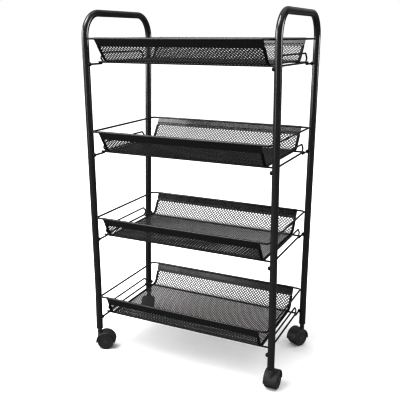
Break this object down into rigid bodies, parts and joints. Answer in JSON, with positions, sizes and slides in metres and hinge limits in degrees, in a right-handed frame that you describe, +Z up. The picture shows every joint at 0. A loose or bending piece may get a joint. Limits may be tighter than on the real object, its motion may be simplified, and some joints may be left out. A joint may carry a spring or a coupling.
{
  "type": "rolling wire basket cart",
  "caption": "Narrow rolling cart: stacked shallow mesh baskets between bent-tube end frames that loop over as handles, on swivelling twin-wheel casters.",
  "frame": {"origin": "on the floor under the middle of the cart, where the two end frames' middle planes cross", "axes": "+X from the left end frame to the right one, +Y from the front of the cart to the back, +Z up"},
  "size_m": [0.4984, 0.3132, 0.85],
  "materials": {
    "tube_black": "gloss black paint",
    "wire_black": "satin black paint",
    "mesh_black": "satin black paint on expanded mesh",
    "band_black": "satin black paint",
    "screw_black": "black-coated screw",
    "plastic_black": "black moulded plastic",
    "plastic_dark": "dark moulded plastic",
    "wheel_plastic": "dark moulded nylon",
    "stem_steel": "zinc-plated steel"
  },
  "bodies": {
    "cart": {"side_frame_left": "tube_black", "side_frame_right": "tube_black", "basket_1_rim_wire": "wire_black", "basket_1_mesh_tray": "mesh_black", "basket_1_rim_bands": "band_black", "basket_1_edge_trims": "band_black", "basket_1_floor_rails": "wire_black", "basket_1_end_wires": "wire_black", "basket_1_guard_wires": "wire_black", "basket_1_screws": "screw_black", "basket_2_rim_wire": "wire_black", "basket_2_mesh_tray": "mesh_black", "basket_2_rim_bands": "band_black", "basket_2_edge_trims": "band_black", "basket_2_floor_rails": "wire_black", "basket_2_end_wires": "wire_black", "basket_2_guard_wires": "wire_black", "basket_2_screws": "screw_black", "basket_3_rim_wire": "wire_black", "basket_3_mesh_tray": "mesh_black", "basket_3_rim_bands": "band_black", "basket_3_edge_trims": "band_black", "basket_3_floor_rails": "wire_black", "basket_3_end_wires": "wire_black", "basket_3_guard_wires": "wire_black", "basket_3_screws": "screw_black", "basket_4_rim_wire": "wire_black", "basket_4_mesh_tray": "mesh_black", "basket_4_rim_bands": "band_black", "basket_4_edge_trims": "band_black", "basket_4_floor_rails": "wire_black", "basket_4_end_wires": "wire_black", "basket_4_guard_wires": "wire_black", "basket_4_screws": "screw_black", "front_left_ferrule": "plastic_black", "front_right_ferrule": "plastic_black", "back_left_ferrule": "plastic_black", "back_right_ferrule": "plastic_black"},
    "front_left_swivel": {"front_left_caster_stem": "stem_steel", "front_left_caster_hood": "plastic_dark", "front_left_caster_axle": "stem_steel"},
    "front_left_wheel_left": {"front_left_caster_wheel_left": "wheel_plastic"},
    "front_left_wheel_right": {"front_left_caster_wheel_right": "wheel_plastic"},
    "front_right_swivel": {"front_right_caster_stem": "stem_steel", "front_right_caster_hood": "plastic_dark", "front_right_caster_axle": "stem_steel"},
    "front_right_wheel_left": {"front_right_caster_wheel_left": "wheel_plastic"},
    "front_right_wheel_right": {"front_right_caster_wheel_right": "wheel_plastic"},
    "back_left_swivel": {"back_left_caster_stem": "stem_steel", "back_left_caster_hood": "plastic_dark", "back_left_caster_axle": "stem_steel"},
    "back_left_wheel_left": {"back_left_caster_wheel_left": "wheel_plastic"},
    "back_left_wheel_right": {"back_left_caster_wheel_right": "wheel_plastic"},
    "back_right_swivel": {"back_right_caster_stem": "stem_steel", "back_right_caster_hood": "plastic_dark", "back_right_caster_axle": "stem_steel"},
    "back_right_wheel_left": {"back_right_caster_wheel_left": "wheel_plastic"},
    "back_right_wheel_right": {"back_right_caster_wheel_right": "wheel_plastic"}
  },
  "joints": [
    {"name": "front_left_swivel_turn", "type": "hinge", "parent": "cart", "child": "front_left_swivel", "pos_m": [-0.232, -0.1275, 0.045], "axis": [0, 0, 1], "continuous": true},
    {"name": "front_left_wheel_left_spin", "type": "hinge", "parent": "front_left_swivel", "child": "front_left_wheel_left", "pos_m": [-0.21738, -0.12099, 0.021], "axis": [-0.4067, 0.9135, 0], "continuous": true},
    {"name": "front_left_wheel_right_spin", "type": "hinge", "parent": "front_left_swivel", "child": "front_left_wheel_right", "pos_m": [-0.21738, -0.12099, 0.021], "axis": [-0.4067, 0.9135, 0], "continuous": true},
    {"name": "front_right_swivel_turn", "type": "hinge", "parent": "cart", "child": "front_right_swivel", "pos_m": [0.232, -0.1275, 0.045], "axis": [0, 0, 1], "continuous": true},
    {"name": "front_right_wheel_left_spin", "type": "hinge", "parent": "front_right_swivel", "child": "front_right_wheel_left", "pos_m": [0.232, -0.1115, 0.021], "axis": [-1, 0, 0], "continuous": true},
    {"name": "front_right_wheel_right_spin", "type": "hinge", "parent": "front_right_swivel", "child": "front_right_wheel_right", "pos_m": [0.232, -0.1115, 0.021], "axis": [-1, 0, 0], "continuous": true},
    {"name": "back_left_swivel_turn", "type": "hinge", "parent": "cart", "child": "back_left_swivel", "pos_m": [-0.232, 0.1275, 0.045], "axis": [0, 0, 1], "continuous": true},
    {"name": "back_left_wheel_left_spin", "type": "hinge", "parent": "back_left_swivel", "child": "back_left_wheel_left", "pos_m": [-0.22653, 0.11246, 0.021], "axis": [0.9397, 0.342, 0], "continuous": true},
    {"name": "back_left_wheel_right_spin", "type": "hinge", "parent": "back_left_swivel", "child": "back_left_wheel_right", "pos_m": [-0.22653, 0.11246, 0.021], "axis": [0.9397, 0.342, 0], "continuous": true},
    {"name": "back_right_swivel_turn", "type": "hinge", "parent": "cart", "child": "back_right_swivel", "pos_m": [0.232, 0.1275, 0.045], "axis": [0, 0, 1], "continuous": true},
    {"name": "back_right_wheel_left_spin", "type": "hinge", "parent": "back_right_swivel", "child": "back_right_wheel_left", "pos_m": [0.22449, 0.11337, 0.021], "axis": [0.8829, -0.4695, 0], "continuous": true},
    {"name": "back_right_wheel_right_spin", "type": "hinge", "parent": "back_right_swivel", "child": "back_right_wheel_right", "pos_m": [0.22449, 0.11337, 0.021], "axis": [0.8829, -0.4695, 0], "continuous": true}
  ]
}
